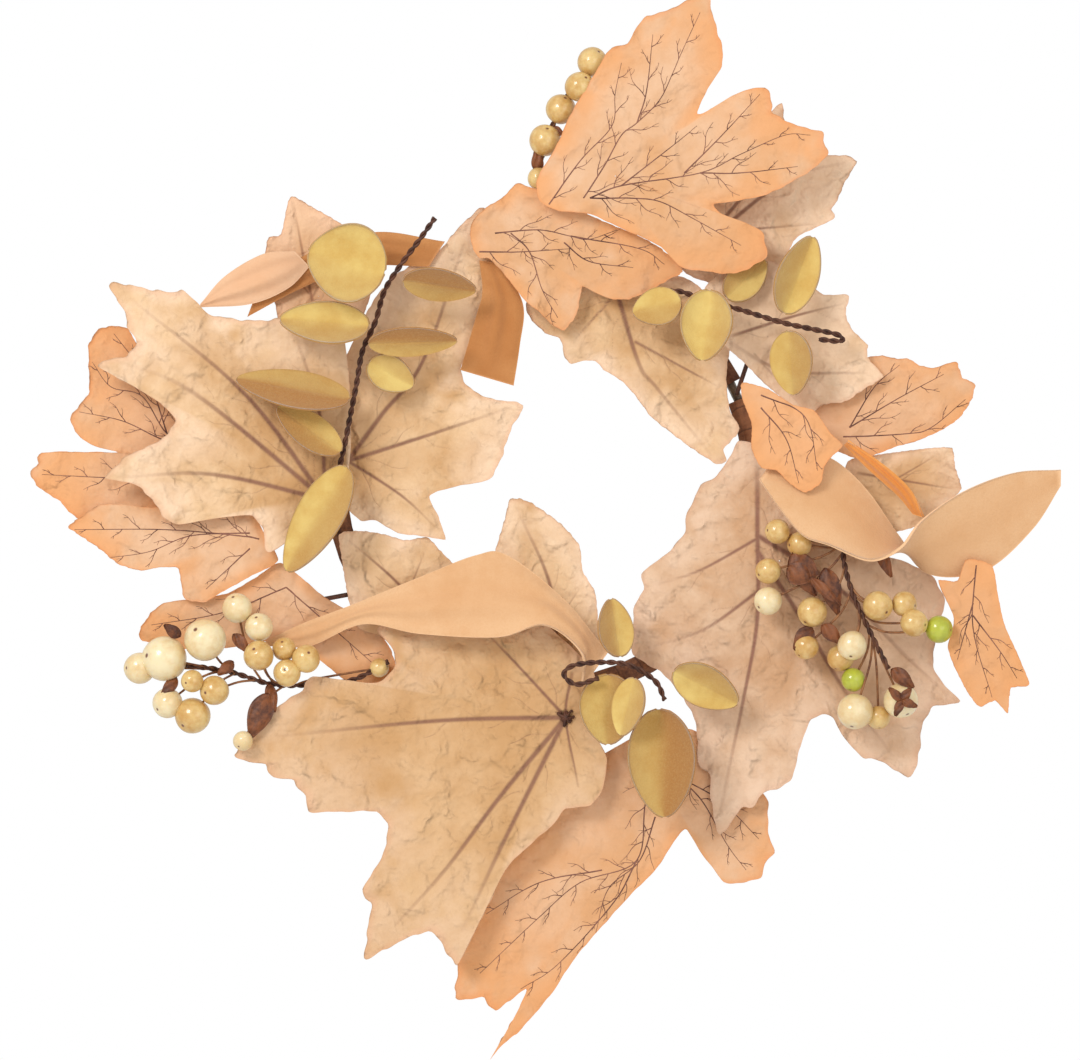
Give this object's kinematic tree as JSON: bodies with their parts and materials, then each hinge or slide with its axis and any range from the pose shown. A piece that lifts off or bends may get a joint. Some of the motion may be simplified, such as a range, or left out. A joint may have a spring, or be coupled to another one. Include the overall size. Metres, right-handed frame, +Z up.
{
  "type": "harvest door wreath",
  "caption": "Round harvest wreath of cloth maple leaves, foam petals, eucalyptus and berry sprays on a taped wire hoop, hung on a door",
  "frame": {"origin": "the inner top of the taped hoop, where a hook carries the wreath", "axes": "+Z up as it hangs, +X to the right seen from the front, -Y toward the viewer, +Y toward the door"},
  "size_m": [0.3287, 0.0388, 0.3401],
  "materials": {
    "steel": "bare drawn wire",
    "brown_tape": "waxed crepe paper",
    "brown_wire": "paper-wrapped twisted wire",
    "cream_cloth": "embossed matt cloth",
    "rose_cloth": "embossed matt cloth",
    "peach_cloth": "embossed matt cloth",
    "printed_cloth": "cloth printed with fine dark veins",
    "orange_foam": "smooth suede-like sheet",
    "peach_foam": "smooth suede-like sheet",
    "rose_foam": "smooth suede-like sheet",
    "eucalyptus": "velvety flocked cloth",
    "berry": "lacquered and mottled"
  },
  "bodies": {
    "wreath_base": {"wire_hoop": "steel", "hoop_tape": "brown_tape", "inner_left_maple_leaf": "cream_cloth", "lower_left_printed_leaf": "printed_cloth", "berry_side_printed_leaf": "printed_cloth", "inner_lower_left_leaf": "cream_cloth", "inner_bottom_leaf": "cream_cloth", "bottom_left_maple_leaf": "cream_cloth", "right_printed_leaf": "printed_cloth", "right_pale_leaf": "cream_cloth", "upper_right_maple_leaf": "cream_cloth", "top_inner_leaf": "cream_cloth", "top_lower_printed_leaf": "printed_cloth", "top_strip_petal": "orange_foam", "upper_left_long_petal": "orange_foam", "upper_left_rose_petal": "rose_foam", "right_curved_petal": "peach_foam", "bottom_long_petal": "peach_foam"},
    "left_eucalyptus": {"left_eucalyptus_wire": "brown_wire", "left_eucalyptus_leaf_1": "eucalyptus", "left_eucalyptus_leaf_2": "eucalyptus", "left_eucalyptus_leaf_3": "eucalyptus", "left_eucalyptus_leaf_4": "eucalyptus", "left_eucalyptus_leaf_5": "eucalyptus", "left_eucalyptus_leaf_6": "eucalyptus", "left_eucalyptus_leaf_7": "eucalyptus", "left_eucalyptus_leaf_8": "eucalyptus"},
    "left_maple": {"left_maple_leaf": "cream_cloth"},
    "top_right_eucalyptus": {"top_right_eucalyptus_wire": "brown_wire", "top_right_eucalyptus_leaf_1": "eucalyptus", "top_right_eucalyptus_leaf_2": "eucalyptus", "top_right_eucalyptus_leaf_3": "eucalyptus", "top_right_eucalyptus_leaf_4": "eucalyptus", "top_right_eucalyptus_leaf_5": "eucalyptus"},
    "bottom_eucalyptus": {"bottom_eucalyptus_wire": "brown_wire", "bottom_eucalyptus_leaf_1": "eucalyptus", "bottom_eucalyptus_leaf_2": "eucalyptus", "bottom_eucalyptus_leaf_3": "eucalyptus", "bottom_eucalyptus_leaf_4": "eucalyptus", "bottom_eucalyptus_leaf_5": "eucalyptus"},
    "left_berries": {"left_berry_spray": "berry"},
    "right_berries": {"right_berry_spray": "berry"},
    "top_berries": {"top_berry_spray": "berry"},
    "top_printed": {"top_printed_leaf": "printed_cloth"},
    "top_right_maple": {"top_right_maple_leaf": "cream_cloth"},
    "right_crumpled": {"right_crumpled_leaf": "printed_cloth"},
    "right_curled": {"right_curled_leaf": "printed_cloth"},
    "right_maple": {"right_maple_leaf": "rose_cloth"},
    "left_printed": {"left_printed_leaf": "printed_cloth"},
    "top_left_maple": {"top_left_maple_leaf": "peach_cloth"},
    "bottom_printed": {"bottom_printed_leaf": "printed_cloth"},
    "right_orange": {"right_orange_petal": "orange_foam"}
  },
  "joints": [
    {"name": "left_eucalyptus_bend", "type": "hinge", "parent": "wreath_base", "child": "left_eucalyptus", "pos_m": [-0.069, -0.017, -0.0695], "axis": [-0.0698, 0, 0.9976], "range_deg": [-12, 12]},
    {"name": "left_maple_bend", "type": "hinge", "parent": "wreath_base", "child": "left_maple", "pos_m": [-0.0668, -0.013, -0.0682], "axis": [-0.0698, 0, 0.9976], "range_deg": [-2, 10]},
    {"name": "top_right_eucalyptus_bend", "type": "hinge", "parent": "wreath_base", "child": "top_right_eucalyptus", "pos_m": [0.033, -0.018, -0.0045], "axis": [0.866, 0, -0.5], "range_deg": [-3, 3]},
    {"name": "bottom_eucalyptus_bend", "type": "hinge", "parent": "wreath_base", "child": "bottom_eucalyptus", "pos_m": [0.038, -0.021, -0.1335], "axis": [-0.866, 0, -0.5], "range_deg": [-20, 0]},
    {"name": "left_berries_bend", "type": "hinge", "parent": "wreath_base", "child": "left_berries", "pos_m": [-0.05, -0.01, -0.1215], "axis": [-0.7547, 0, 0.6561], "range_deg": [-1, 3]},
    {"name": "right_berries_bend", "type": "hinge", "parent": "wreath_base", "child": "right_berries", "pos_m": [0.076, -0.009, -0.0595], "axis": [0.0523, 0, -0.9986], "range_deg": [0, 15]},
    {"name": "top_berries_bend", "type": "hinge", "parent": "wreath_base", "child": "top_berries", "pos_m": [-0.004, -0.008, 0.0085], "axis": [0.9986, 0, 0.0523], "range_deg": [-15, 0]},
    {"name": "top_printed_lift", "type": "hinge", "parent": "wreath_base", "child": "top_printed", "pos_m": [0.0151, -0.02, 0.0018], "axis": [0.9744, 0, -0.225], "range_deg": [0, 40]},
    {"name": "top_right_maple_bend", "type": "hinge", "parent": "wreath_base", "child": "top_right_maple", "pos_m": [0.0335, -0.007, -0.0055], "axis": [0.866, 0, -0.5], "range_deg": [-12, 6]},
    {"name": "right_crumpled_bend", "type": "hinge", "parent": "wreath_base", "child": "right_crumpled", "pos_m": [0.13, -0.019, -0.0935], "axis": [-0.3256, 0, -0.9455], "range_deg": [-10, 12]},
    {"name": "right_curled_lift", "type": "hinge", "parent": "wreath_base", "child": "right_curled", "pos_m": [0.066, -0.023, -0.0435], "axis": [0.1736, 0, -0.9848], "range_deg": [-6, 35]},
    {"name": "right_maple_bend", "type": "hinge", "parent": "wreath_base", "child": "right_maple", "pos_m": [0.067, -0.013, -0.0735], "axis": [-0.2588, 0, -0.9659], "range_deg": [-6, 3]},
    {"name": "left_printed_bend", "type": "hinge", "parent": "wreath_base", "child": "left_printed", "pos_m": [-0.067, -0.005, -0.0612], "axis": [0.0349, 0, 0.9994], "range_deg": [-10, 0]},
    {"name": "top_left_maple_bend", "type": "hinge", "parent": "wreath_base", "child": "top_left_maple", "pos_m": [-0.0535, -0.006, -0.0232], "axis": [0.6018, 0, 0.7986], "range_deg": [-10, 0]},
    {"name": "bottom_printed_bend", "type": "hinge", "parent": "wreath_base", "child": "bottom_printed", "pos_m": [0.0229, -0.007, -0.1265], "axis": [-0.9397, 0, -0.342], "range_deg": [-10, 0]},
    {"name": "right_orange_bend", "type": "hinge", "parent": "wreath_base", "child": "right_orange", "pos_m": [0.095, -0.02, -0.0525], "axis": [0.0872, 0, -0.9962], "range_deg": [-10, 30]}
  ]
}
